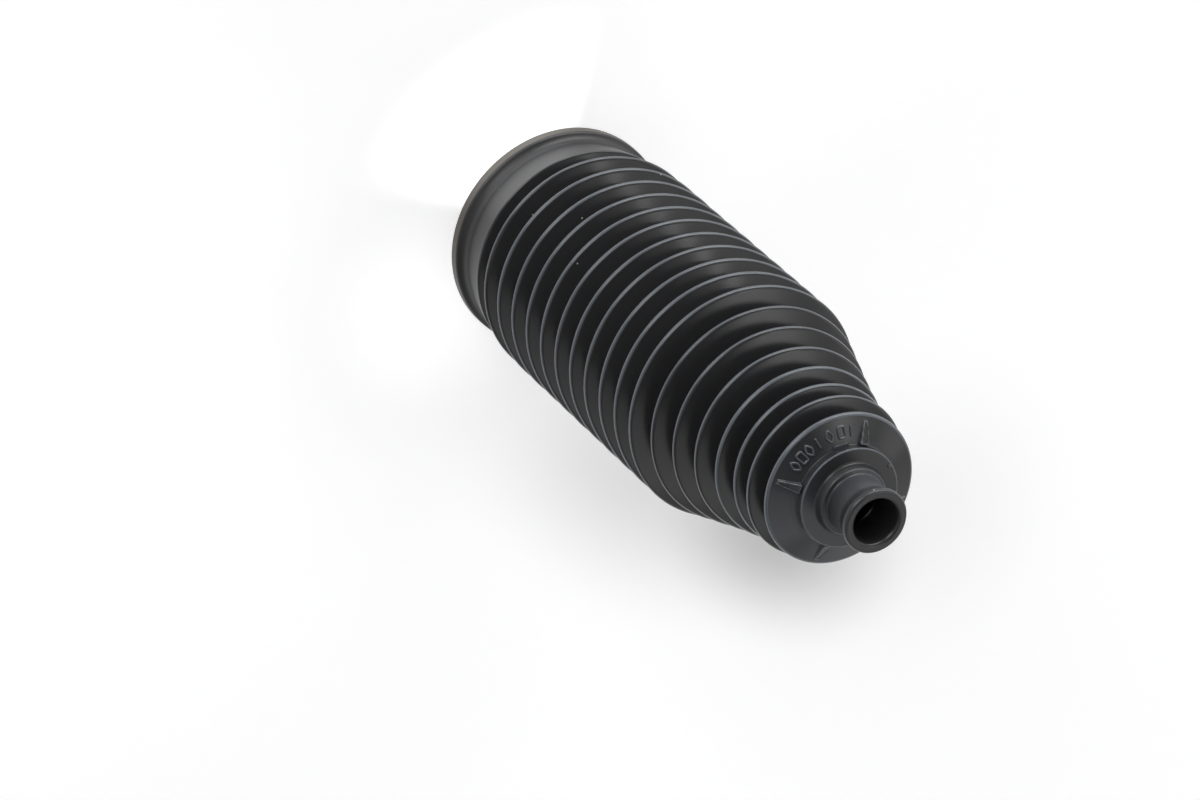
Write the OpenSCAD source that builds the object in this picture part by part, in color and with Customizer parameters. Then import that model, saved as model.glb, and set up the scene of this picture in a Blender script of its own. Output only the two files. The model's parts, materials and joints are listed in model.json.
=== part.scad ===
// Steering rack boot: a one-piece moulded bellows that seals the inner tie rod joint.
// It stands on its large end. The axis is +Z, towards the small end.
// Each wall is one closed outline, turned about the axis.

/* [Folds] */
// Outer diameter of the full-size folds
fold_d = 69; // [62:0.5:80]
// Number of full-size folds
fold_count = 11; // [6:1:16]
// Distance from one full-size fold to the next
fold_pitch = 9; // [8:0.05:11]
// Depth of a fold, from its crest to the valley beside it
fold_depth = 6.8; // [5:0.1:8]
// Wall thickness of the folds
fold_wall = 1.2; // [0.9:0.05:1.5]
// Rounding on the outside of a crest
crest_round = 0.7; // [0.5:0.05:1]
// Rounding on the outside of a valley
valley_round = 1; // [0.7:0.05:1.4]

/* [Taper] */
// Number of folds that step down in diameter
taper_count = 4; // [2:1:6]
// Diameter lost from one tapering fold to the next
taper_step = 4.6; // [3:0.1:5.2]
// Distance between the tapering folds
taper_pitch = 8.2; // [7.5:0.05:10]
// Number of narrow folds of one diameter after the taper
neck_count = 2; // [1:1:4]
// Outer diameter of the narrow folds
neck_d = 47.4; // [44:0.2:50]
// Outer diameter of the last fold
end_fold_d = 43.6; // [41:0.2:46]
// Distance between the narrow folds
neck_pitch = 7.15; // [6.8:0.05:9]

/* [Large end] */
// Height of the collar, from the rim's face to its shoulder
collar_h = 17.5; // [16:0.5:22]
// Distance from the shoulder to the first fold
first_gap = 7.1; // [7:0.1:9]
// Outer diameter of the rim
rim_d = 65.8; // [64:0.2:72]
// Thickness of the rim
rim_h = 3.6; // [2.5:0.1:5]
// Outer diameter of the clamp seat
seat_d = 62.4; // [61:0.2:63]
// Outer diameter of the shoulder above the clamp seat
shoulder_d = 66; // [64:0.2:68]
// Bore of the collar
collar_bore = 57.6; // [54:0.2:58]
// Depth of the collar's bore
collar_bore_h = 15.5; // [14:0.5:16]

/* [Small end] */
// Height of the cone from the last crest to the foot of the step
end_cone_h = 3.9; // [3:0.1:6]
// Outer diameter of the step
step_d = 28.9; // [28:0.1:32]
// Height of the step's wall
step_h = 2.5; // [1.8:0.1:4]
// Wall thickness of the cone, the step and its face
end_wall = 1.8; // [1.3:0.1:2.2]
// Outer diameter of the ring at the sleeve's foot
foot_ring_d = 19.6; // [18.4:0.2:21]
// Height of the ring at the sleeve's foot
foot_ring_h = 2.8; // [1.5:0.1:4]
// Outer diameter of the sleeve
sleeve_d = 16.8; // [16:0.1:17.6]
// Length of the sleeve, from the step's face to its end
sleeve_h = 14.8; // [12:0.1:20]
// Bore of the sleeve
sleeve_bore = 13; // [11:0.1:14]
// Outer diameter of the bead at the sleeve's end
bead_d = 18.6; // [18:0.1:20]
// Height of the bead, with the flare below it
bead_h = 4.2; // [3:0.1:6]
// Height of the bead's upright edge
bead_edge_h = 1.8; // [1.6:0.1:2.4]

/* [Bars] */
// Number of wedge bars on the end cone
bar_count = 4; // [2:1:8]
// Length of a bar along the radius
bar_length = 6.1; // [4:0.1:6.4]
// Width of a bar at its inner end
bar_w_in = 2.7; // [1.6:0.1:3.6]
// Width of a bar at its outer end
bar_w_out = 1.5; // [0.8:0.1:2.4]
// Height of a bar above the cone at its inner end
bar_rise = 1.5; // [0.8:0.1:1.8]
// Height of a bar above the cone at its outer end
bar_toe_rise = 0.3; // [0.2:0.1:0.8]

/* [Roundings] */
// Rounding on the rim's outer edges
rim_round = 0.7; // [0.3:0.1:1.2]
// Rounding in the corner between the rim and the clamp seat
seat_round = 2.6; // [1:0.1:3]
// Rounding on the shoulder's edge
shoulder_round = 0.6; // [0.3:0.1:1]
// Rounding on the edges of the step and of the foot ring
step_round = 0.35; // [0.2:0.05:0.6]
// Rounding on the bead's edge
bead_round = 0.9; // [0.5:0.1:1.2]
// Rounding at the mouths of the two bores
mouth_round = 0.6; // [0.3:0.1:0.8]

/* [Hidden] */

// Straight pieces that make up each rounded corner
corner_steps = 5;
turn_fn = 120;
// Rounding on the inside of a crest
inner_crest_round = 0.4;
// Length of the seat's straight run, as far as the rise to the shoulder
seat_run = 6.5;
// How far a bar's foot lies under the cone's surface
bar_sink = 0.6;

last_fold = fold_count + taper_count + neck_count;
first_crest_z = collar_h + first_gap;

// Folds, counted from 0 at the large end
function crest_r(i) =
    i < fold_count ? fold_d / 2
    : i < fold_count + taper_count ? (fold_d - (i - fold_count + 1) * taper_step) / 2
    : i < last_fold ? neck_d / 2
    : end_fold_d / 2;
function gap_after(i) =
    i < fold_count - 1 ? fold_pitch
    : i < fold_count + taper_count - 1 ? taper_pitch
    : neck_pitch;
function crest_z(i) = i == 0 ? first_crest_z : crest_z(i - 1) + gap_after(i - 1);
function valley_r(i) = min(crest_r(i), crest_r(i + 1)) - fold_depth;
function valley_z(i) = (crest_z(i) + crest_z(i + 1)) / 2;

// A flank leans away from the flat of a washer by this angle. It is the line that touches the
// crest's round and the valley's round, half a pitch apart.
function flank_angle(half_pitch) =
    let (
        rounds = crest_round + valley_round,
        across = fold_depth - rounds,
        centres = sqrt(half_pitch * half_pitch + across * across)
    )
    atan2(half_pitch, across) - asin(rounds / centres);
// A rounded corner stands back from the sharp corner of its flanks by this much
function sharp_extra(radius, half_pitch) = radius * (1 / sin(flank_angle(half_pitch)) - 1);

// Corners of an outline: [radius, height, rounding]
function crest_corner(i) = [
    crest_r(i) + sharp_extra(crest_round, gap_after(i - (i == last_fold ? 1 : 0)) / 2),
    crest_z(i),
    crest_round
];
function valley_corner(i) = [
    valley_r(i) - sharp_extra(valley_round, gap_after(i) / 2),
    valley_z(i),
    valley_round
];

// The corner that lies one wall thickness inside corner b, between its neighbours a and c
function left_of(a, b) = let (d = [b[0] - a[0], b[1] - a[1]]) [-d[1], d[0]] / norm(d);
function inset(a, b, c, wall) =
    let (
        n1 = left_of(a, b),
        n2 = left_of(b, c),
        shift = (n1 + n2) * wall / (1 + n1 * n2)
    )
    [b[0] + shift[0], b[1] + shift[1]];

// One corner of an outline as an arc that touches both of its sides
function arc_corner(a, b, c) =
    b[2] == 0 ? [[b[0], b[1]]]
    : let (
        p = [b[0], b[1]],
        u = [a[0] - b[0], a[1] - b[1]] / norm([a[0] - b[0], a[1] - b[1]]),
        v = [c[0] - b[0], c[1] - b[1]] / norm([c[0] - b[0], c[1] - b[1]]),
        half = acos(u * v) / 2,
        centre = p + (u + v) / norm(u + v) * b[2] / sin(half),
        start = p + u * b[2] / tan(half) - centre,
        end = p + v * b[2] / tan(half) - centre,
        a0 = atan2(start[1], start[0]),
        turn = atan2(start[0] * end[1] - start[1] * end[0], start * end)
    )
    [for (k = [0:corner_steps]) centre + b[2] * [cos(a0 + turn * k / corner_steps), sin(a0 + turn * k / corner_steps)]];
function rounded(corners) =
    let (n = len(corners))
    [for (i = [0:n - 1]) each arc_corner(corners[(i + n - 1) % n], corners[i], corners[(i + 1) % n])];

// Heights at the small end
cone_foot_z = crest_z(last_fold) + end_cone_h;
face_z = cone_foot_z + step_h;
end_z = face_z + sleeve_h;

// Outside of the folds, with a corner beyond each end so that the first and last can be inset
first_valley = [min(crest_r(0), shoulder_d / 2) - fold_depth, (collar_h + first_crest_z) / 2, valley_round];
outer_folds = [
    first_valley,
    for (i = [0:last_fold]) each i < last_fold ? [crest_corner(i), valley_corner(i)] : [crest_corner(i)]
];
shoulder = [shoulder_d / 2, collar_h, shoulder_round];
cone_foot = [step_d / 2, cone_foot_z, 0];
with_ends = concat([shoulder], outer_folds, [cone_foot]);

// Inside of the folds: the same corners one wall inwards
inner_folds = [
    for (i = [1:len(with_ends) - 2])
        let (
            p = inset(with_ends[i - 1], with_ends[i], with_ends[i + 1], fold_wall),
            is_valley = with_ends[i][0] < with_ends[i + 1][0] && with_ends[i][0] < with_ends[i - 1][0]
        )
        [p[0], p[1], is_valley ? valley_round + fold_wall : inner_crest_round]
];
inner_up = [for (i = [len(inner_folds) - 1:-1:0]) inner_folds[i]];

collar_outside = [
    [collar_bore / 2, 0, mouth_round],
    [rim_d / 2, 0, rim_round],
    [rim_d / 2, rim_h, rim_round],
    [seat_d / 2, rim_h + seat_round / 2, seat_round],
    [seat_d / 2, rim_h + seat_run, seat_round],
    shoulder
];
small_end = [
    cone_foot,
    [step_d / 2, face_z, step_round],
    [foot_ring_d / 2, face_z, 0],
    [foot_ring_d / 2, face_z + foot_ring_h, step_round],
    [sleeve_d / 2, face_z + foot_ring_h, 0],
    [sleeve_d / 2, end_z - bead_h, bead_h],
    [bead_d / 2, end_z - bead_edge_h, bead_round],
    [bead_d / 2, end_z, bead_round],
    [sleeve_bore / 2, end_z, mouth_round],
    [sleeve_bore / 2, face_z - end_wall, mouth_round],
    [step_d / 2 - end_wall, face_z - end_wall, mouth_round],
    [step_d / 2 - end_wall, cone_foot_z - end_wall / 2, 0]
];
collar_inside = [[collar_bore / 2, collar_bore_h, 0]];

module wall() {
    rotate_extrude($fn = turn_fn)
        polygon(rounded(concat(collar_outside, outer_folds, small_end, inner_up, collar_inside)));
}

// A wedge bar: its plan widens towards the step, and its top rises from the cone
module bar() {
    cone_slope = end_cone_h / (crest_r(last_fold) - step_d / 2);
    inner_r = step_d / 2 - end_wall / 2;
    outer_r = step_d / 2 + bar_length;
    outer_z = cone_foot_z - bar_length * cone_slope;
    intersection() {
        linear_extrude(height = end_z)
            polygon([
                [inner_r, -bar_w_in / 2],
                [outer_r, -bar_w_out / 2],
                [outer_r, bar_w_out / 2],
                [inner_r, bar_w_in / 2]
            ]);
        rotate([90, 0, 0])
            linear_extrude(height = bar_w_in + bar_w_out, center = true)
                polygon([
                    [inner_r, cone_foot_z - bar_sink],
                    [outer_r, outer_z - bar_sink],
                    [outer_r, outer_z + bar_toe_rise],
                    [inner_r, cone_foot_z + bar_rise]
                ]);
    }
}

module bellows_boot() {
    color([0.10, 0.10, 0.11]) {
        union() {
            wall();
            for (k = [0:bar_count - 1])
                rotate([0, 0, k * 360 / bar_count])
                    bar();
        }
    }
}

bellows_boot();
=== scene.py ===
# %% [markdown]
# A steering rack boot in black rubber.
#
# On a car this bellows closes the joint between the steering rack and the tie rod. Its wide collar sits
# on the rack's housing, its narrow sleeve on the rod, and the folds between them open and shut as the
# wheels turn. It is one moulding, so one closed skin stands for it here, with the small raised forms of
# the mould laid on as pieces of their own.

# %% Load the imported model
import json
import math

import bpy
import numpy as np
from mathutils import Matrix, Vector
from mathutils.bvhtree import BVHTree


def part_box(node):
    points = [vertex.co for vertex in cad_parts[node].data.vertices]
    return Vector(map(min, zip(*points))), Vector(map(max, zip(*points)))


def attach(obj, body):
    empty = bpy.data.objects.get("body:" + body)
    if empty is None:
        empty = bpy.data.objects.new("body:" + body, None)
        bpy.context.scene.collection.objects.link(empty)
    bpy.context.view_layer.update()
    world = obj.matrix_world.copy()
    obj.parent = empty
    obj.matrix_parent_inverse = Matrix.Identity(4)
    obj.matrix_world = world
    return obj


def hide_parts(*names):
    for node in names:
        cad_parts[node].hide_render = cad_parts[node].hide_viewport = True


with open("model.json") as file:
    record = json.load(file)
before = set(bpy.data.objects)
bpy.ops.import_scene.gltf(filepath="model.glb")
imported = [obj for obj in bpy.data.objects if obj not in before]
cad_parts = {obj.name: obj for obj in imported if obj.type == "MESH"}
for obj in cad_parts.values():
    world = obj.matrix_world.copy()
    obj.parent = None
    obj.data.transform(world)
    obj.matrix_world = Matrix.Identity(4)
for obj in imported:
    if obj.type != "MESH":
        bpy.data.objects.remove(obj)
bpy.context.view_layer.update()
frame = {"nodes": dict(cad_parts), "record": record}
BODY = "root"
NODE = "bellows_boot"
MM = 0.001

# %% [markdown]
# The sizes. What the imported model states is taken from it: the widest fold and the whole length from
# its box, and the two bores from its mounts. The other sizes are the driving dimensions of the
# moulding, in millimetres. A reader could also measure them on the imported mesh, but then a change of
# one fold would be hard to follow, so they are named here and compared with that mesh further down.

# %% Sizes of the moulding, in millimetres
mounts = {m["name"]: m for m in frame["record"]["mounts"]}
box_low, box_high = (np.array(corner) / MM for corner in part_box(NODE))
FOLD_R = (box_high[0] - box_low[0]) / 2
LENGTH = box_high[2]
COLLAR_BORE_R = mounts["rack_housing_bore"]["dims"]["r_mm"]
SLEEVE_BORE_R = mounts["tie_rod_bore"]["dims"]["r_mm"]

FOLD_COUNT, FOLD_PITCH, FOLD_DEPTH, FOLD_WALL = 11, 9.0, 6.8, 1.2
CREST_ROUND, VALLEY_ROUND, INNER_CREST_ROUND = 0.85, 1.0, 0.4
TAPER_COUNT, TAPER_PITCH, TAPER_STEP = 4, 8.2, 2.3
NECK_COUNT, NECK_PITCH, NECK_R, END_FOLD_R = 2, 7.15, 23.7, 21.8

RIM_R, RIM_H, RIM_ROUND, RIM_BACK_ROUND = 32.9, 3.5, 0.7, 1.2
GROOVE_R, GROOVE_Z, GROOVE_ROUND = 30.5, 5.2, 3.2
SEAT_R, SEAT_Z, SEAT_ROUND = 32.15, 13.3, 1.0
SHOULDER_R, SHOULDER_ROUND, COLLAR_H, FIRST_GAP = 33.0, 0.6, 17.6, 7.0
COLLAR_BORE_H, MOUTH_ROUND = 15.5, 0.6

END_CONE_H, END_WALL = 3.9, 1.8
STEP_R, STEP_H, STEP_ROUND = 14.45, 2.5, 0.35
FOOT_RING_R, FOOT_RING_TOP_R, FOOT_RING_H, FOOT_RING_ROUND, FOOT_COVE = 10.3, 9.6, 2.6, 0.6, 0.6
SLEEVE_R, LIP_Z, LIP_HALF, LIP_RISE = 8.4, 177.5, 0.6, 0.3
BEAD_R, BEAD_H, BEAD_EDGE_H, BEAD_ROUND, BEAD_MOUTH_ROUND = 9.3, 4.2, 1.8, 0.9, 1.0
print(f"widest fold {2 * FOLD_R:.2f} mm across, {LENGTH:.2f} mm long")
print(f"bores {2 * COLLAR_BORE_R} and {2 * SLEEVE_BORE_R} mm")

# %% [markdown]
# Where the folds lie. A rack boot opens most in its full-size folds, steps down through a short taper,
# and ends in a few narrow folds. Each crest is a radius and a height, worked out from the counts and
# pitches: the gaps are added up, which numpy does in one call.

# %% Crests and valleys of the folds
gaps = np.repeat([FOLD_PITCH, TAPER_PITCH, NECK_PITCH], [FOLD_COUNT - 1, TAPER_COUNT, NECK_COUNT + 1])
crest_z = COLLAR_H + FIRST_GAP + np.concatenate([[0.0], np.cumsum(gaps)])
crest_r = np.concatenate([
    np.full(FOLD_COUNT, FOLD_R),
    FOLD_R - TAPER_STEP * np.arange(1, TAPER_COUNT + 1),
    np.full(NECK_COUNT, NECK_R),
    [END_FOLD_R],
])
valley_z = (crest_z[1:] + crest_z[:-1]) / 2
valley_r = np.minimum(crest_r[1:], crest_r[:-1]) - FOLD_DEPTH
cone_foot_z = crest_z[-1] + END_CONE_H
face_z = cone_foot_z + STEP_H
print(len(crest_z), "folds from", crest_z[0], "to", round(crest_z[-1], 2), "mm")
print("step's face at", round(face_z, 2), "mm")

# %% [markdown]
# The outline of the wall. A turned part is easiest to state as sharp corners with a rounding each, as a
# toolmaker's drawing does. Each corner is a radius, a height and a rounding. A fold's flank is the line
# that touches the round of its crest and the round of the valley beside it, and the sharp corner lies
# beyond the round by radius * (1 / sin(flank angle) - 1).

# %% Sharp corners of the outline
def flank_angle(half_pitch):
    """Angle between a flank and the flat of a washer.

    The flank is the inner tangent of two rounds: arctan(half pitch / across) - arcsin(both rounds / distance
    of their centres), where across is the fold's depth less both rounds.
    """
    rounds = CREST_ROUND + VALLEY_ROUND
    across = FOLD_DEPTH - rounds
    return np.arctan2(half_pitch, across) - np.arcsin(rounds / np.hypot(half_pitch, across))


def fold_corners():
    """Corners of the outside of the folds, valley and crest by turns, from the shoulder to the last crest."""
    after = np.append(gaps, gaps[-1])
    sharp_crest_r = crest_r + CREST_ROUND * (1 / np.sin(flank_angle(after / 2)) - 1)
    sharp_valley_r = valley_r - VALLEY_ROUND * (1 / np.sin(flank_angle(gaps / 2)) - 1)
    crests = np.stack([sharp_crest_r, crest_z, np.full_like(crest_z, CREST_ROUND)], axis=1)
    valleys = np.stack([sharp_valley_r, valley_z, np.full_like(valley_z, VALLEY_ROUND)], axis=1)
    first = [SHOULDER_R - FOLD_DEPTH, COLLAR_H + FIRST_GAP / 2, VALLEY_ROUND]
    between = np.stack([crests[:-1], valleys], axis=1).reshape(-1, 3)
    return np.concatenate([[first], between, crests[-1:]])


def unit(v):
    """The vectors of an array, each divided by its own length."""
    return v / np.maximum(np.linalg.norm(v, axis=-1, keepdims=True), 1e-12)


def one_wall_inside(corners, wall):
    """Each corner moved along the bisector of its two sides, so that both sides move inwards by the wall."""
    p = corners[:, :2]
    side = unit(np.diff(p, axis=0))
    normal = np.stack([-side[:, 1], side[:, 0]], axis=1)
    a, b = normal[:-1], normal[1:]
    return p[1:-1] + (a + b) * wall / (1 + np.sum(a * b, axis=1, keepdims=True))


shoulder = [SHOULDER_R, COLLAR_H, SHOULDER_ROUND]
cone_foot = [STEP_R, cone_foot_z, 0]
outer_folds = fold_corners()
inner_points = one_wall_inside(np.concatenate([[shoulder], outer_folds, [cone_foot]]), FOLD_WALL)
is_valley = outer_folds[:, 2] == VALLEY_ROUND
inner_rounds = np.where(is_valley, VALLEY_ROUND + FOLD_WALL, INNER_CREST_ROUND)
inner_folds = np.column_stack([inner_points, inner_rounds])
outside = np.array([
    [COLLAR_BORE_R, 0, MOUTH_ROUND],
    [RIM_R, 0, RIM_ROUND],
    [RIM_R, RIM_H, RIM_BACK_ROUND],
    [GROOVE_R, GROOVE_Z, GROOVE_ROUND],
    [SEAT_R, SEAT_Z, SEAT_ROUND],
    shoulder,
    *outer_folds,
    cone_foot,
    [STEP_R, face_z, STEP_ROUND],
    [FOOT_RING_R, face_z, FOOT_COVE],
    [FOOT_RING_TOP_R, face_z + FOOT_RING_H, FOOT_RING_ROUND],
    [SLEEVE_R, face_z + FOOT_RING_H + FOOT_COVE / 2, FOOT_COVE],
    [SLEEVE_R, LENGTH - BEAD_H, BEAD_H],
    [BEAD_R, LENGTH - BEAD_EDGE_H, BEAD_ROUND],
    [BEAD_R, LENGTH, BEAD_ROUND],
])
inside = np.array([
    [SLEEVE_BORE_R, LENGTH, BEAD_MOUTH_ROUND],
    [SLEEVE_BORE_R, LIP_Z + LIP_HALF, 0],
    [SLEEVE_BORE_R - LIP_RISE, LIP_Z, LIP_RISE / 2],
    [SLEEVE_BORE_R, LIP_Z - LIP_HALF, 0],
    [SLEEVE_BORE_R, face_z - END_WALL, MOUTH_ROUND],
    [STEP_R - END_WALL, face_z - END_WALL, MOUTH_ROUND],
    [STEP_R - END_WALL, cone_foot_z - END_WALL / 2, 0],
    *inner_folds[::-1],
    [COLLAR_BORE_R, COLLAR_BORE_H, 0],
])
corners = np.concatenate([outside, inside])
print(len(corners), "corners,", len(outside), "of them outside")

# %% [markdown]
# Rounding the corners. Each corner becomes an arc that touches both of its sides: the centre lies on
# the bisector at radius / sin(half the corner's angle), and the arc starts and ends at
# radius / tan(half the angle) along the sides. All corners are done at once as arrays. The straight
# runs between arcs get a point close to each end, because a smooth-shaded face takes its normals from
# its corners, and a long flank next to a tight round would otherwise look dented.

# %% Rounded outline
ARC_STEPS, INSIDE_STEPS, WIDE_ARC = 4, 2, 3.0
RUN_POINTS = np.array([0.06, 0.94])


def rounded_outline(c, steps, run_points):
    """Each corner's arc and the run to the next arc, as one closed row of (radius, height).

    An arc's point is centre + radius * (cos, sin) of an angle that goes evenly from its start to its
    end. Arcs are worked out in twice the steps, and every second point is left out where the radius is
    small.
    """
    p, radius = c[:, :2], c[:, 2]
    to_last = unit(np.roll(p, 1, axis=0) - p)
    to_next = unit(np.roll(p, -1, axis=0) - p)
    half = np.arccos(np.clip(np.sum(to_last * to_next, axis=1), -1, 1)) / 2
    centre = p + unit(to_last + to_next) * (radius / np.sin(half))[:, None]
    reach = (radius / np.tan(half))[:, None]
    start, end = p + to_last * reach - centre, p + to_next * reach - centre
    turn = np.arctan2(start[:, 0] * end[:, 1] - start[:, 1] * end[:, 0], np.sum(start * end, axis=1))
    angle = np.arctan2(start[:, 1], start[:, 0])[:, None] + turn[:, None] * np.linspace(0, 1, 2 * steps + 1)
    arcs = centre[:, None] + radius[:, None, None] * np.stack([np.cos(angle), np.sin(angle)], axis=2)
    leave = arcs[:, -1]
    run = np.roll(arcs[:, 0], -1, axis=0) - leave
    runs = leave[:, None] + run[:, None] * run_points[None, :, None]
    row = np.concatenate([arcs, runs], axis=1)
    used = np.ones(row.shape[:2], bool)
    used[:, 1:2 * steps:2] = (radius > WIDE_ARC)[:, None]
    row = row[used]
    keep = np.linalg.norm(row - np.roll(row, 1, axis=0), axis=1) > 1e-4
    return row[keep]


outline = rounded_outline(corners, ARC_STEPS, RUN_POINTS)
print(f"outline of {len(outline)} points, radius {outline[:, 0].min():.2f} to {outline[:, 0].max():.2f} mm")

# %% [markdown]
# Turning the outline into the wall. The outline is carried round the axis: the point at row i and angle
# a lies at (r cos a, r sin a, z). Spin or a Screw modifier would do the same, but with an array each
# ring can also be a little untrue, as a rubber moulding is once it has been squeezed out of its mould:
# every fold leans and is oval by a tenth of a millimetre, and the two ends stay true. The inside
# gets fewer points than the outside, and the last ring joins the first, so the skin is closed.

# %% The moulded wall
ROUND_STEPS = 204
LEAN_MM, OVAL_MM = 0.11, 0.09


def thin_inside(c):
    """The rounded outline with fewer steps inside.

    A fine and a coarse outline are cut at the sleeve's mouth, and the first half of one is joined to the
    second half of the other.
    """
    halves = rounded_outline(c, ARC_STEPS, RUN_POINTS), rounded_outline(c, INSIDE_STEPS, RUN_POINTS[:0])
    mouth = [SLEEVE_BORE_R + BEAD_MOUTH_ROUND, LENGTH]
    cut_fine, cut_coarse = (np.argmin(np.linalg.norm(half - mouth, axis=1)) for half in halves)
    return np.concatenate([halves[0][:cut_fine], halves[1][cut_coarse:]])


def untrue(r, z, angle, seed=5):
    """A ring's small faults: it leans and is oval.

    Height + lean * sin(angle + phase), and radius - oval * (1 + cos(2 angle + phase)) / 2.
    """
    rng = np.random.default_rng(seed)
    at = np.concatenate([[0, COLLAR_H], crest_z, [cone_foot_z, LENGTH]])
    ends = np.array([0, 0] + [1] * len(crest_z) + [0, 0])
    lean = np.interp(z, at, ends * LEAN_MM * rng.uniform(0.3, 1, len(at)))
    oval = np.interp(z, at, ends * OVAL_MM * rng.uniform(0.3, 1, len(at)))
    lean_phase = np.interp(z, at, np.cumsum(rng.uniform(-0.9, 0.9, len(at))))
    oval_phase = np.interp(z, at, np.cumsum(rng.uniform(-0.9, 0.9, len(at))))
    return r - oval * (1 + np.cos(2 * angle + oval_phase)) / 2, z + lean * np.sin(angle + lean_phase)


def ring_faces(rows, columns, closed_rows):
    """Quads between neighbours on a grid. Columns close on themselves, and rows do if asked."""
    i = np.arange(rows if closed_rows else rows - 1)[:, None]
    j = np.arange(columns)[None, :]
    i_next, j_next = (i + 1) % rows, (j + 1) % columns
    quads = [i * columns + j, i * columns + j_next, i_next * columns + j_next, i_next * columns + j]
    return np.stack(quads, axis=-1).reshape(-1, 4)


def make_mesh(name, points_mm, faces, smooth=True):
    """A mesh object from points in millimetres and faces of equal or mixed length."""
    mesh = bpy.data.meshes.new(name)
    mesh.from_pydata((np.asarray(points_mm) * MM).tolist(), [], [list(map(int, f)) for f in faces])
    mesh.polygons.foreach_set("use_smooth", np.full(len(mesh.polygons), smooth))
    mesh.update()
    piece = bpy.data.objects.new(name, mesh)
    bpy.context.scene.collection.objects.link(piece)
    return piece


row = thin_inside(corners)
angle = np.linspace(0, 2 * np.pi, ROUND_STEPS, endpoint=False)[None, :]
ring_r, ring_z = untrue(row[:, :1], row[:, 1:], angle)
points = np.stack([ring_r * np.cos(angle), ring_r * np.sin(angle), ring_z + 0 * angle], axis=-1)
wall = make_mesh("moulded_wall", points.reshape(-1, 3), ring_faces(len(row), ROUND_STEPS, True))
print("moulded wall:", len(row), "rings,", 2 * len(wall.data.polygons), "triangles")

# %% [markdown]
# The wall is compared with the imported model: from every tenth point of the skin, how far is the
# nearest point of the solid's surface? A tree of its triangles answers that quickly.

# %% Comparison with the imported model
solid = BVHTree.FromObject(frame["nodes"][NODE], bpy.context.evaluated_depsgraph_get())
gap = np.array([solid.find_nearest(Vector(p * MM))[3] for p in points.reshape(-1, 3)[::10]]) / MM
print(f"skin to solid: {gap.mean():.3f} mm on average, {gap.max():.3f} mm at most")

# %% [markdown]
# The wedge bars. Four short ribs stand on the end cone against the step, and stop it from folding
# over when the sleeve is pushed on. Each one widens and rises towards the step, its walls lean a
# little so that it leaves the mould, and its flat top has shrunk between slightly proud edges. A
# bevelled box would miss those edges, so the bar is a grid: how high a point stands depends only on how
# far it is from the nearest edge of the bar's plan. Points are set close together near the edges.

# %% Wedge bars on the end cone
BAR_COUNT, BAR_LENGTH, BAR_RISE, BAR_TOE_RISE, BAR_SINK = 4, 6.1, 1.45, 0.35, 0.6
BAR_HALF_IN, BAR_HALF_OUT, BAR_GAP = 1.5, 0.75, 0.15
WALL_RUN, EDGE_RISE, EDGE_WIDTH, EDGE_WAVES = 0.30, 0.24, 0.20, 3
CONE_SLOPE = END_CONE_H / (outer_folds[-1, 0] - STEP_R)


def cone_height(r):
    """Height of the end cone's surface at radius r."""
    return cone_foot_z - (r - STEP_R) * CONE_SLOPE


def turned_by(points, turn):
    """Points turned about the axis by an angle."""
    c, s = math.cos(turn), math.sin(turn)
    return points @ np.array([[c, s, 0], [-s, c, 0], [0, 0, 1]])


def closed_loft(rings):
    """Points and faces of a row of rings, closed at both ends by a fan to the ring's mean point.

    The faces point outwards where a ring's points turn left-handed about the row's direction.
    """
    count, columns = rings.shape[:2]
    j = np.arange(columns)
    first, last = count * columns, count * columns + 1
    after = (j + 1) % columns
    start = (count - 1) * columns
    fan_a = np.stack([np.full(columns, first), j, after], axis=1)
    fan_b = np.stack([np.full(columns, last), start + after, start + j], axis=1)
    points = np.concatenate([rings.reshape(-1, 3), [rings[0].mean(axis=0), rings[-1].mean(axis=0)]])
    return points, [*ring_faces(count, columns, False)[:, ::-1], *fan_a, *fan_b]


def crowded(count):
    """Values from 0 to 1, close together at both ends: (1 - cos(pi t)) / 2."""
    return (1 - np.cos(np.pi * np.linspace(0, 1, count))) / 2


def bar_rings(seed, rows=34, columns=30):
    """A bar's rings across it, and how much of each point is an edge.

    d is the distance to the nearest edge of the plan. Height over the cone is
    rise * smooth(d / wall) + edge rise * exp(-((d - wall) / width) ** 2), with the edge rise a little uneven
    along the bar, as a sum of three cosines of the radius.
    """
    rng = np.random.default_rng(seed)
    along = crowded(rows)[:, None]
    across = 2 * crowded(columns)[None, :] - 1
    half = BAR_HALF_IN + (BAR_HALF_OUT - BAR_HALF_IN) * along
    r = STEP_R + BAR_GAP + (BAR_LENGTH - BAR_GAP) * along + 0 * across
    y = half * across
    d = np.minimum(np.minimum(half - np.abs(y), STEP_R + BAR_LENGTH - r), r - STEP_R - BAR_GAP)
    rise = BAR_RISE + (BAR_TOE_RISE - BAR_RISE) * along ** 0.8
    climb = np.clip(d / WALL_RUN, 0, 1)
    share = np.exp(-((d - WALL_RUN) / EDGE_WIDTH) ** 2)
    waves = sum(np.cos(rng.uniform(2, 9) * r + rng.uniform(-3, 3) * np.sign(y) + rng.uniform(0, 6))
                for _ in range(EDGE_WAVES)) / EDGE_WAVES
    height = rise * climb * climb * (3 - 2 * climb) + EDGE_RISE * share * (0.8 + 0.5 * waves)
    top = np.stack([r, y, cone_height(r) + height], axis=-1)
    under = top[:, ::-1] * [1, 1, 0] + np.stack([0 * r, 0 * r, cone_height(r) - BAR_SINK], axis=-1)
    edges = np.concatenate([share * (0.7 + 0.3 * waves), 0 * share], axis=1)
    return np.concatenate([top, under], axis=1), edges


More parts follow.
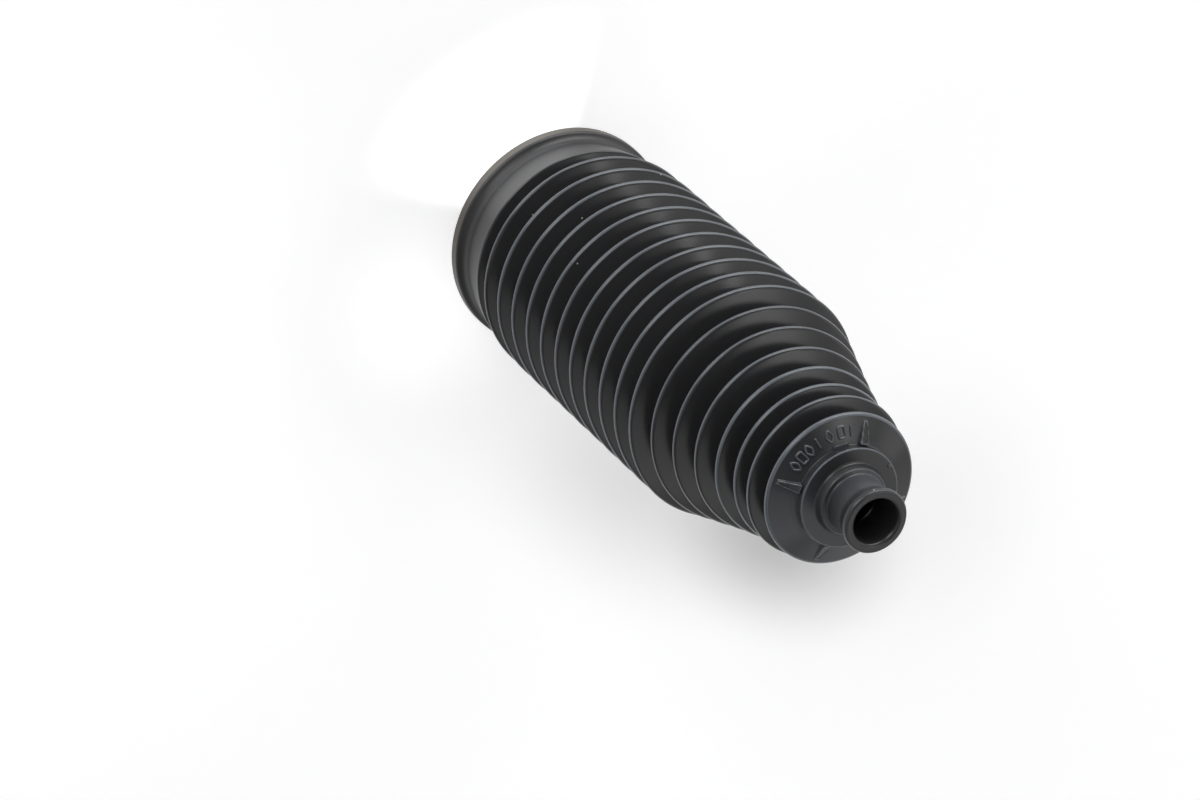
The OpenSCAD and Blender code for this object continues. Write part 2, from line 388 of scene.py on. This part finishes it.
def joined(parts):
    """Several (points, faces) as one, with the faces of each counted on from the last."""
    starts = np.cumsum([0] + [len(p) for p, _ in parts[:-1]])
    points = np.concatenate([p for p, _ in parts])
    return points, [[i + n for i in face] for n, (_, faces) in zip(starts, parts) for face in faces]


bars, bar_edges = [], []
for k in range(BAR_COUNT):
    rings, edges = bar_rings(seed=k)
    bar_points, bar_faces = closed_loft(rings)
    bars.append((turned_by(bar_points, 2 * math.pi * k / BAR_COUNT), bar_faces))
    bar_edges.append(np.append(edges.ravel(), [0, 0]))
wedge_bars = make_mesh("wedge_bars", *joined(bars))
print("wedge bars:", len(bars), "of", round(BAR_LENGTH, 1), "mm")

# %% [markdown]
# Low marks of the mould. Such boots carry small raised marks on the cone, cut into the mould. Here they
# are a plain row of lozenges, squares and strokes, which say nothing. Each is a low ridge carried along
# a path: a straight stroke, or the curve |x|^p + |y|^p = 1, which is close to a lozenge for a small p
# and to a square for a large one. Text could be extruded from a font, but there is nothing to say here.
# The marks are half a millimetre high, and they show because their sides catch the light.

# %% Low marks on the end cone
MARK_R, MARK_HALF_HEIGHT, MARK_HALF_WIDTH, MARK_LINE, MARK_RISE = 17.95, 1.45, 0.95, 0.33, 0.48
MARK_POINTS, RIDGE_COLUMNS, END_POWER, END_LEAST = 40, 12, 16, 0.02
CURVE_POWERS = {"lozenge": 1.3, "square": 5.0}
# (form, degrees round the cone)
MARK_ROW = [("lozenge", -107.5), ("square", -116.5), ("lozenge", -125), ("stroke", -134.5),
            ("lozenge", -146), ("square", -157.5), ("stroke", -166.5)]


def mark_path(form):
    """Path of a mark from -1 to 1 in width and height, and whether it closes on itself.

    A stroke runs straight. A curve's point at angle a is sign(w) * |w| ** (2 / p), with w = cos a in
    width and w = sin a in height.
    """
    if form == "stroke":
        t = np.linspace(-1, 1, MARK_POINTS)
        return np.stack([0 * t, t], axis=1), False
    a = np.linspace(0, 2 * np.pi, MARK_POINTS, endpoint=False)
    wave = np.stack([np.cos(a), np.sin(a)], axis=1)
    return np.sign(wave) * np.abs(wave) ** (2 / CURVE_POWERS[form]), True


def ridge(path, closes):
    """A low round ridge along a path on the cone: side = line * cos(a), up = rise * sin(a).

    At open ends both are multiplied by the root of 1 - t ** 16, with t from -1 to 1 along the path.
    """
    ahead = np.roll(path, -1, axis=0) - np.roll(path, 1, axis=0)
    full = np.ones(len(path))
    if not closes:
        ahead[0], ahead[-1] = path[1] - path[0], path[-1] - path[-2]
        full = np.sqrt(np.clip(1 - np.linspace(-1, 1, len(path)) ** END_POWER, END_LEAST, 1))
    side = unit(ahead)[:, ::-1] * [1, -1]
    a = np.linspace(0, 2 * np.pi, RIDGE_COLUMNS, endpoint=False)
    flat = path[:, None] + side[:, None] * (full[:, None] * MARK_LINE * np.cos(a))[..., None]
    up = full[:, None] * MARK_RISE * np.sin(a)
    r = MARK_R + flat[..., 1]
    rings = np.stack([r, flat[..., 0], cone_height(np.hypot(r, flat[..., 0])) + up], axis=-1)
    if closes:
        return rings.reshape(-1, 3), ring_faces(len(path), RIDGE_COLUMNS, True)
    return closed_loft(rings[:, ::-1])


marks = []
for form, degrees in MARK_ROW:
    path, closes = mark_path(form)
    mark_points, mark_faces = ridge(path * [MARK_HALF_WIDTH, MARK_HALF_HEIGHT], closes)
    marks.append((turned_by(mark_points, math.radians(degrees)), mark_faces))
print("marks:", [form for form, _ in MARK_ROW])

# %% [markdown]
# Traces of the moulding. The rubber enters the mould through a gate, whose stub is left on the step's
# face, and a little of it creeps between the parts of the mould and leaves nibs of flash on the bead. A
# flat pad lies at the step's foot, beside the marks. Each is a superellipsoid: a ball whose sines and
# cosines are raised to a power, boxy below 1 and round at 1. Such lumps could be sculpted, but three
# half sizes and a power say all there is to see.

# %% Pad, gate stub and flash
PEBBLE_RINGS, PEBBLE_COLUMNS = 10, 20
# (degrees round, radius, height, half sizes along the radius, across and upwards, power)
STEP_FOOT_PAD = (-154, STEP_R, cone_foot_z, 0.95, 2.3, 0.33, 0.35)
GATE_STUB = (140.5, 13.5, face_z, 0.45, 0.5, 0.4, 0.8)
NIBS = [(21.5, BEAD_R - 0.05, LENGTH - 1.2, 0.38, 0.22, 0.2, 1.0),
        (-10.5, BEAD_R - 0.1, LENGTH - 1.9, 0.22, 0.2, 0.2, 1.0)]


def pebble(degrees, r, z, along, across, up, power):
    """A superellipsoid: half sizes * sin(u)^p, cos(u)^p cos(v)^p, cos(u)^p sin(v)^p, moved and turned."""
    u = np.linspace(-np.pi / 2, np.pi / 2, PEBBLE_RINGS + 2)[1:-1, None]
    v = np.linspace(0, 2 * np.pi, PEBBLE_COLUMNS, endpoint=False)[None, :]
    wave = np.stack([np.sin(u) + 0 * v, np.cos(u) * np.cos(v), np.cos(u) * np.sin(v)], axis=-1)
    lump = np.sign(wave) * np.abs(wave) ** power * [along, across, up] + [r, 0, z]
    points, faces = closed_loft(lump[:, ::-1])
    return turned_by(points, math.radians(degrees)), faces


mould_marks = make_mesh("mould_marks", *joined([*marks, pebble(*STEP_FOOT_PAD)]))
flash_nibs = make_mesh("flash_nibs", *joined([pebble(*spec) for spec in (GATE_STUB, *NIBS)]))
print("mould marks:", len(marks), "and a pad; nibs:", len(NIBS), "and the gate's stub")

# %% [markdown]
# Shading by arithmetic. A finish is a handful of patterns added, multiplied and mixed. Linking Math
# nodes one by one hides the sum, so a small class wraps a socket and lets Python write it: a + b adds an
# Add node, and 1 - mask works too because the reflected forms are there. Any other node comes from one
# method, which sets the node's settings first and its sockets after them.

# %% Node helper
class Wire:
    """A node's output socket. Arithmetic on it adds Math nodes to its tree."""

    def __init__(self, tree, socket):
        self.tree, self.socket = tree, socket

    def math(self, operation, *values):
        """A Math node on the values, in their order."""
        return Nodes(self.tree).add("Math", {"operation": operation}, dict(enumerate(values)))

    def __add__(self, other):
        return self.math("ADD", self, other)

    def __sub__(self, other):
        return self.math("SUBTRACT", self, other)

    def __rsub__(self, other):
        return self.math("SUBTRACT", other, self)

    def __mul__(self, other):
        return self.math("MULTIPLY", self, other)

    def __truediv__(self, other):
        return self.math("DIVIDE", self, other)

    def __rtruediv__(self, other):
        return self.math("DIVIDE", other, self)

    def __pow__(self, other):
        return self.math("POWER", self, other)

    __radd__ = __add__
    __rmul__ = __mul__


class Nodes:
    """A node tree with one way to add any node."""

    def __init__(self, tree):
        self.tree = tree

    def add(self, kind, settings=None, values=None, output=0):
        """A node of a kind: its settings first, then the values or wires of its sockets. Gives one output."""
        node = self.tree.nodes.new("ShaderNode" + kind)
        for name, value in (settings or {}).items():
            setattr(node, name, value)
        for name, value in (values or {}).items():
            if isinstance(value, Wire):
                self.tree.links.new(value.socket, node.inputs[name])
            else:
                node.inputs[name].default_value = value
        return Wire(self.tree, node.outputs[output]) if node.outputs else None

    def smooth(self, value, start, end):
        """0 below start, 1 above end, and a smooth rise between them."""
        return self.add("MapRange", {"interpolation_type": "SMOOTHSTEP"},
                        {"Value": value, "From Min": start, "From Max": end})

    def mix(self, factor, first, second):
        """The colour first * (1 - factor) + second * factor."""
        return self.add("Mix", {"data_type": "RGBA"}, {0: factor, 6: first, 7: second}, output=2)


def empty_material(name):
    """A new material with no nodes yet, and the Nodes that fill it."""
    material = bpy.data.materials.new(name)
    material.use_nodes = True
    material.node_tree.nodes.clear()
    return material, Nodes(material.node_tree)


print("node helpers ready")

# %% [markdown]
# Where the rubber is paler. Black rubber turns paler where it is touched, on the crests, which knock
# against whatever is near, and on the edges of the small end; the same pale colour there is also a
# painted highlight of the bright lines that these rounds catch. The whole narrow sleeve is painted paler,
# more on one side as a painted highlight. This could be painted by hand, but every ring of the wall has a
# known place in the outline, so numpy works it out for all points at once and keeps it on the mesh, as an
# attribute that the material reads. A value over 1 stands for something else: a painted glint, the one
# bright line on the low lip deep in the sleeve's bore, where a lamp shines in.

# %% Attribute of wear and painted highlight
CREST_REACH = 0.6
# (radius, height, reach, strength) of the other edges that are paler, partly from wear and partly as a
# painted highlight
WORN_AND_LIT_EDGES = [(STEP_R, face_z, 0.40, 0.85), (FOOT_RING_TOP_R, face_z + FOOT_RING_H, 0.7, 0.30),
              (BEAD_R, LENGTH, 0.9, 0.35), (SHOULDER_R, COLLAR_H, 0.5, 0.40)]
# The sleeve is painted paler all round, and more on one side as a painted highlight
SLEEVE_PALING, SLEEVE_PALING_EVENLY, SLEEVE_HIGHLIGHT_TURN = 0.39, 0.72, math.radians(150)
# A painted glint: a near-white colour on the lip deep in the bore
GLINT, GLINT_REACH, GLINT_TURN, GLINT_POWER = 2.2, 0.42, math.radians(64.5), 12
# The bars' edges are paler, partly from wear and partly as a painted highlight; the marks and nibs are paler
# all over
BAR_WEAR_AND_HIGHLIGHT, MARK_PALING = 0.75, 0.36


def worn(r, z):
    """Paleness of wear and painted highlight: 1 on a crest, falling evenly to 0 at the reach below it, or
    more where an edge is near.

    At an edge it is strength * exp(-(distance / reach) ** 2).
    """
    nearest = np.abs(z[:, None] - crest_z[None, :]).argmin(axis=1)
    on_folds = (z > COLLAR_H + 1) & (z < cone_foot_z)
    paleness = np.clip(1 - (crest_r[nearest] - r) / CREST_REACH, 0, 1) * on_folds
    for edge_r, edge_z, reach, strength in WORN_AND_LIT_EDGES:
        paleness = np.maximum(paleness, strength * np.exp(-((r - edge_r) ** 2 + (z - edge_z) ** 2) / reach ** 2))
    return paleness


def sleeve_paling(r, z):
    """Paleness painted on the sleeve: exp(-(height from its middle / half its length) ** 4), more on one side
    as a painted highlight.
    """
    middle, half = (face_z + LENGTH) / 2, (LENGTH - face_z) / 2
    on_sleeve = (r > SLEEVE_R - 0.1) * np.exp(-((z - middle) / half) ** 4)
    return SLEEVE_PALING * on_sleeve * (SLEEVE_PALING_EVENLY + (1 - SLEEVE_PALING_EVENLY) * np.cos(angle - SLEEVE_HIGHLIGHT_TURN))


def glint(r, z):
    """A painted glint in the bore: exp(-(height from the lip / reach) ** 2) * cos(turn from one side) **
    power.
    """
    in_bore = (r < SLEEVE_BORE_R + 0.01) * np.exp(-((z - LIP_Z) / GLINT_REACH) ** 2)
    return GLINT * in_bore * np.clip(np.cos(angle - GLINT_TURN), 0, 1) ** GLINT_POWER


def set_wear_and_highlight(piece, values):
    """Keep one value for each point of a piece, as the attribute of wear and painted highlight that the
    material reads.
    """
    piece.data.attributes.new("worn", "FLOAT", "POINT").data.foreach_set("value", values.astype(np.float32))


row_r, row_z = row[:, :1], row[:, 1:]
# Paleness on the wall: wear and painted highlight on crests and edges, the painted sleeve, then the painted
# glint
paleness = np.maximum(worn(row[:, 0], row[:, 1])[:, None], sleeve_paling(row_r, row_z))
set_wear_and_highlight(wall, np.maximum(paleness, glint(row_r, row_z)).ravel())
set_wear_and_highlight(wedge_bars, BAR_WEAR_AND_HIGHLIGHT * np.concatenate(bar_edges))
for piece in (mould_marks, flash_nibs):
    set_wear_and_highlight(piece, np.full(len(piece.data.vertices), MARK_PALING))
print(f"rubbed: {(paleness > 0.5).mean():.1%} of the wall's points by more than half")

# %% [markdown]
# Black moulded rubber. The real one is nearly neutral black, with a satin skin on the folds, a little
# duller on the small end and dull on the collar. It is never quite even: broad and fine smears change
# the gloss, worn places are paler and bluer, and a few specks of dust lie on the folds. The same pale
# colour is painted as highlight on the crests and edges, over the sleeve and on one side of the small end,
# with a painted glint in the bore, and the rim's outer face is tinted a paler brown. A black colour with
# one roughness would look like plastic, and a scanned picture would not fit the folds. So masks of place,
# wear and painted highlight, written as sums, mix a few colours and shift the roughness. They read Object
# coordinates, in metres, so they stay on the part as it turns.

# %% Colours and gloss of the rubber
BLACK, WEAR_AND_HIGHLIGHT_GREY, DUST = (0.0180, 0.0184, 0.0197, 1), (0.087, 0.096, 0.110, 1), (0.42, 0.41, 0.39, 1)
# A paler brown tint on the rim's outer face, and the near-white of the painted glint
RIM_BROWN, GLINT_COLOUR = (0.060, 0.052, 0.041, 1), (0.85, 0.85, 0.88, 1)
SATIN, DULLER_COLLAR, DULLER_END = 0.225, 0.20, 0.09
SMEAR_SCALE, BROAD_SCALE, SMEAR_GLOSS, BROAD_GLOSS = 55, 14, 0.06, 0.04
SPECK_SCALE, SPECK_CHANCE, SPECK_COVER = 150, 0.50, 0.8
# The narrow folds and the small end are painted paler than the wide folds, a painted highlight, from this
# height in metres to that
TAPER_FROM, TAPER_TO, TAPER_HIGHLIGHT = 0.12, 0.16, 0.6
# The end's skin is painted paler on the side that faces this way, a painted highlight
SIDE_HIGHLIGHT_TURN, SIDE_HIGHLIGHT = math.radians(-35), 0.20


def rubber_colour(n, place, x, y, z, radius, smears):
    """Black, mixed in turn with the pale colour of wear and painted highlight, the rim's brown tint, the
    painted glint and the specks.
    """
    paleness = n.add("Attribute", {"attribute_name": "worn"}, output=2)
    cells = {"Vector": place, "Scale": SPECK_SCALE, "Randomness": 1}
    speck_distance = n.add("TexVoronoi", values=cells)
    speck_chance = n.add("SeparateColor", values={0: n.add("TexVoronoi", values=cells, output=1)})
    chosen = n.smooth(speck_chance, SPECK_CHANCE, SPECK_CHANCE + 0.02)
    specks = (1 - n.smooth(speck_distance, 0.02, 0.05)) * chosen

    taper = n.smooth(z, TAPER_FROM, TAPER_TO)
    # Paler where worn, and as painted highlight on crests, edges, the sleeve and the narrow folds
    pale_share = n.smooth(paleness, 0.15, 0.70) * (0.55 + 0.6 * smears) * (1 + TAPER_HIGHLIGHT * taper)
    turned_right = (x * math.cos(SIDE_HIGHLIGHT_TURN) + y * math.sin(SIDE_HIGHLIGHT_TURN)) / (radius + 0.0001)
    past_folds = n.smooth(z, (crest_z[-1] + 0.6) * MM, (crest_z[-1] + 1.2) * MM)
    below_sleeve = 1 - n.smooth(z, (face_z + 0.5) * MM, (face_z + 2.0) * MM)
    # A painted highlight: the small end is paler on the side that faces one way
    pale = past_folds * below_sleeve * n.smooth(turned_right, -0.3, 0.8)
    # The rim's outer face, tinted a paler brown
    on_rim = n.smooth(radius, (RIM_R - 0.7) * MM, (RIM_R - 0.2) * MM) * (
        1 - n.smooth(z, (RIM_H - 0.7) * MM, (RIM_H - 0.1) * MM))

    colour = n.mix(pale_share + pale * (1 - pale_share) * SIDE_HIGHLIGHT, BLACK, WEAR_AND_HIGHLIGHT_GREY)
    colour = n.mix(on_rim, colour, RIM_BROWN)
    # The painted glint in the bore
    colour = n.mix(n.smooth(paleness, 1.1, 1.8), colour, GLINT_COLOUR)
    return n.mix(specks * SPECK_COVER, colour, DUST)


def rubber_roughness(n, place, z, smears):
    """Satin, plus more on the collar and past the cone, plus each noise less its middle times its share."""
    broad = n.add("TexNoise", values={"Vector": place, "Scale": BROAD_SCALE, "Detail": 2})
    on_collar = 1 - n.smooth(z, (COLLAR_H - 0.8) * MM, COLLAR_H * MM)
    past_cone = n.smooth(z, (cone_foot_z - 0.8) * MM, (cone_foot_z - 0.2) * MM)
    smeared = (smears - 0.5) * SMEAR_GLOSS + (broad - 0.5) * BROAD_GLOSS
    return SATIN + on_collar * DULLER_COLLAR + past_cone * DULLER_END + smeared


# %% Black rubber
rubber, n = empty_material("black_rubber_moulded")
place = n.add("TexCoord", output=3)
x, y, z = (n.add("SeparateXYZ", values={0: place}, output=k) for k in range(3))
radius = (x * x + y * y) ** 0.5
smears = n.add("TexNoise", values={"Vector": place, "Scale": SMEAR_SCALE, "Detail": 2})
n.add("OutputMaterial", values={0: n.add("BsdfPrincipled", values={
    "Base Color": rubber_colour(n, place, x, y, z, radius, smears),
    "Roughness": rubber_roughness(n, place, z, smears), "IOR": 1.5,
})})
for piece in (wall, wedge_bars, mould_marks, flash_nibs):
    piece.data.materials.append(rubber)
    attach(piece, BODY)
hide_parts(NODE)
print("rubber has", len(rubber.node_tree.nodes), "nodes")

# %% [markdown]
# Floor. The boot stands on a plain white floor, as small parts do in a catalogue, so bright that it
# nearly melts into the background. Lamps that light only the floor would also show in the glossy folds.
# So the floor glows a little by itself: evenly, with a painted pool of light in a patch beside the rim,
# whose glow also lights the collar's seat, with painted light in some soft spots and painted shadow in
# others, of which the strongest are a painted shadow beside the small end. A spot is an ellipse, 1 at
# its middle and smoothly 0 at its edge. Nothing glows inside the boot.

# %% Floor
FLOOR_HALF = 6.0
FLOOR_COLOUR, FLOOR_GLOW, BLUER = (0.80, 0.80, 0.80, 1), 0.452, 1.01
# A painted pool of light beside the rim, whose glow also lights the collar's seat
PAINTED_POOL_GLOW, PATCH_TURN, PATCH_FROM, PATCH_TO, PATCH_EDGE = 1.30, math.radians(226.5), 0.036, 0.074, 0.72
INSIDE_TO, OUTSIDE_FROM = 0.030, 0.032
SPOT_TURN = math.radians(-19.5)
# Middle across and along the spots' own direction, reach each way, in metres, and the glow added as painted
# light or taken as painted shadow
PAINTED_SPOTS = [
    (0.050, 0.078, 0.044, 0.085, -0.24),
    (0.043, 0.136, 0.036, 0.054, -0.38),
    (0.034, -0.020, 0.042, 0.042, 0.20),
    (0.010, 0.172, 0.060, 0.060, -0.07),
    (0.080, -0.060, 0.150, 0.160, 0.065),
    (-0.060, -0.020, 0.100, 0.120, 0.05),
]


def floor_glow(n, x, y):
    """Even glow + painted pool of light + the sum of the spots' amounts of painted light and painted shadow *
    (1 - smooth(distance)), times 0 inside the boot.
    """
    out = (x * x + y * y) ** 0.5
    side = (x * math.cos(PATCH_TURN) + y * math.sin(PATCH_TURN)) / (out + 0.001)
    painted_pool = n.smooth(side, PATCH_EDGE, 1.0) * (1 - n.smooth(out, PATCH_FROM, PATCH_TO))
    glow = FLOOR_GLOW + painted_pool * PAINTED_POOL_GLOW
    across = x * math.cos(SPOT_TURN) + y * math.sin(SPOT_TURN)
    along = y * math.cos(SPOT_TURN) - x * math.sin(SPOT_TURN)
    for spot_across, spot_along, wide, long, amount in PAINTED_SPOTS:
        side_off, end_off = (across - spot_across) / wide, (along - spot_along) / long
        apart = (side_off * side_off + end_off * end_off) ** 0.5
        # Painted light where the amount is above 0, painted shadow where it is below
        glow = glow + (1 - n.smooth(apart, 0.0, 1.0)) * amount
    return glow * n.smooth(out, INSIDE_TO, OUTSIDE_FROM)


corner_signs = np.array([[-1, -1], [1, -1], [1, 1], [-1, 1]])
floor_points = np.column_stack([corner_signs * FLOOR_HALF / MM, np.zeros(4)])
floor = make_mesh("floor", floor_points, [[0, 1, 2, 3]], smooth=False)
paint, n = empty_material("pale_floor")
place = n.add("TexCoord", output=3)
glow = floor_glow(n, *(n.add("SeparateXYZ", values={0: place}, output=k) for k in range(2)))
n.add("OutputMaterial", values={0: n.add("BsdfPrincipled", values={
    "Base Color": FLOOR_COLOUR, "Roughness": 0.9, "Specular IOR Level": 0.0, "Emission Strength": 1.0,
    "Emission Color": n.add("CombineColor", values={0: glow, 1: glow, 2: glow * BLUER}),
})})
floor.data.materials.append(paint)
print("floor glows", FLOOR_GLOW, "with", len(PAINTED_SPOTS), "soft spots")

# %% [markdown]
# Sky. A white sheet hangs on one side and fills the shadows, and the room on the other side is dark, so
# that black rubber keeps its depth. A sheet could be modelled and lit, but that is slow and noisy. Here
# it is the pale side of the sky: the brightness rises smoothly with the cosine between a direction and
# the sheet's. Where the sky is seen directly it is plain white, as the paper behind a small part is.

# %% Sky
SHEET, ROOM, SEEN = 0.58, 0.09, 1.0
SHEET_SIDE, SHEET_FROM, SHEET_TO = (0.350, 0.936, 0.034), 0.0, 0.6
world = bpy.data.worlds.new("sheet_and_room")
bpy.context.scene.world = world
world.use_nodes = True
world.node_tree.nodes.clear()
n = Nodes(world.node_tree)
direction = n.add("TexCoord", output=0)
facing = n.add("VectorMath", {"operation": "DOT_PRODUCT"}, {0: direction, 1: SHEET_SIDE}, output=1)
light = ROOM + (SHEET - ROOM) * n.smooth(facing, SHEET_FROM, SHEET_TO)
seen = n.add("LightPath", output=0)
background = n.add("Background", values={"Color": (1, 1, 1, 1), "Strength": light + seen * (SEEN - light)})
n.add("OutputWorld", values={0: background})
print("sky from", ROOM, "to", SHEET)

# %% [markdown]
# Soft boxes. Each bright band on the folds is the mirror image of a lamp, so each needs a lamp in its
# own direction: a low row on the dark side draws the long bands, a small high window the narrow streak,
# and the rest fill the flanks between them. Area lamps would light the near folds more than the far
# ones. A sun with a wide disc lights every fold alike, with little noise. Its strength is the light
# that it brings, worked out from how bright its disc looks: brightness * pi * sin(half its width)
# squared. A good way to find the brightnesses is to render each lamp alone and solve for the mix.

# %% Soft boxes
# (name, degrees round from +X, degrees up, degrees wide, brightness)
SOFT_BOXES = [
    ("long_box_near", -123.5, 3, 28, 5.8),
    ("long_box_middle", -148.5, 3, 28, 0.8),
    ("long_box_far", -175.5, 3, 28, 8.0),
    ("long_box_end", 161.5, 4, 28, 5.8),
    ("long_box_last", 131.5, 4, 28, 1.2),
    ("left_box", -125.0, 32, 34, 1.9),
    ("left_glow", -75.0, 40, 40, 0.55),
    ("back_box", 160.0, 32, 30, 0.40),
    ("sheet_top", 103.5, 27, 22, 0.55),
    ("high_window", 149.5, 56, 5, 7.5),
    ("high_edge", 142.0, 62, 8, 1.2),
    ("high_box", 133.5, 47, 24, 0.45),
    ("high_glow", 158.5, 60, 26, 0.42),
    ("top_box", 123.5, 64, 20, 1.2),
    ("top_glow", 135.0, 73, 16, 0.45),
    ("right_box", 108.5, 60, 24, 0.4),
    ("sheet_glow", 0.0, 50, 40, 0.6),
    ("sheet_foot", 40.0, 6, 40, 0.25),
    ("face_glow", 60.5, 52, 26, 0.65),
]
for name, round_from_x, up_from_floor, wide, brightness in SOFT_BOXES:
    turn, rise, half = (math.radians(d) for d in (round_from_x, up_from_floor, wide / 2))
    lamp = bpy.data.lights.new(name, "SUN")
    lamp.angle = 2 * half
    lamp.energy = brightness * math.pi * math.sin(half) ** 2
    towards = Vector((math.cos(turn) * math.cos(rise), math.sin(turn) * math.cos(rise), math.sin(rise)))
    box = bpy.data.objects.new(name, lamp)
    box.matrix_world = towards.to_track_quat("Z", "Y").to_matrix().to_4x4()
    bpy.context.scene.collection.objects.link(box)
print("soft boxes:", len(SOFT_BOXES))

# %% [markdown]
# Camera. It looks at the small end from high up and far away through a long lens, so the folds hardly
# shrink with distance, and it is rolled so far that the standing boot lies across the picture. A Track
# To constraint would aim it, but not roll it, so its three axes are worked out and put in its matrix:
# back points from the aim to the camera, and up is the level up direction turned by the roll.

# %% Camera
AIM = Vector((22.58, -12.76, 67.97)) * MM
DISTANCE, LENS = 1794.8 * MM, 195
AZIMUTH, ELEVATION, ROLL = (math.radians(d) for d in (-29.453, 52.298, -133.016))
back = Vector((math.sin(AZIMUTH) * math.cos(ELEVATION), -math.cos(AZIMUTH) * math.cos(ELEVATION),
               math.sin(ELEVATION)))
level_right = Vector((0, 0, 1)).cross(back).normalized()
level_up = back.cross(level_right)
up = level_up * math.cos(ROLL) + level_right * math.sin(ROLL)
right = up.cross(back)
camera = bpy.data.objects.new("camera", bpy.data.cameras.new("camera"))
camera.data.lens = LENS
turned = Matrix((right, up, back)).transposed().to_4x4()
camera.matrix_world = Matrix.Translation(AIM + back * DISTANCE) @ turned
bpy.context.scene.collection.objects.link(camera)
bpy.context.scene.camera = camera
bpy.context.scene.view_settings.view_transform = "Standard"
print("camera", round(DISTANCE, 3), "m away with a lens of", LENS, "mm")
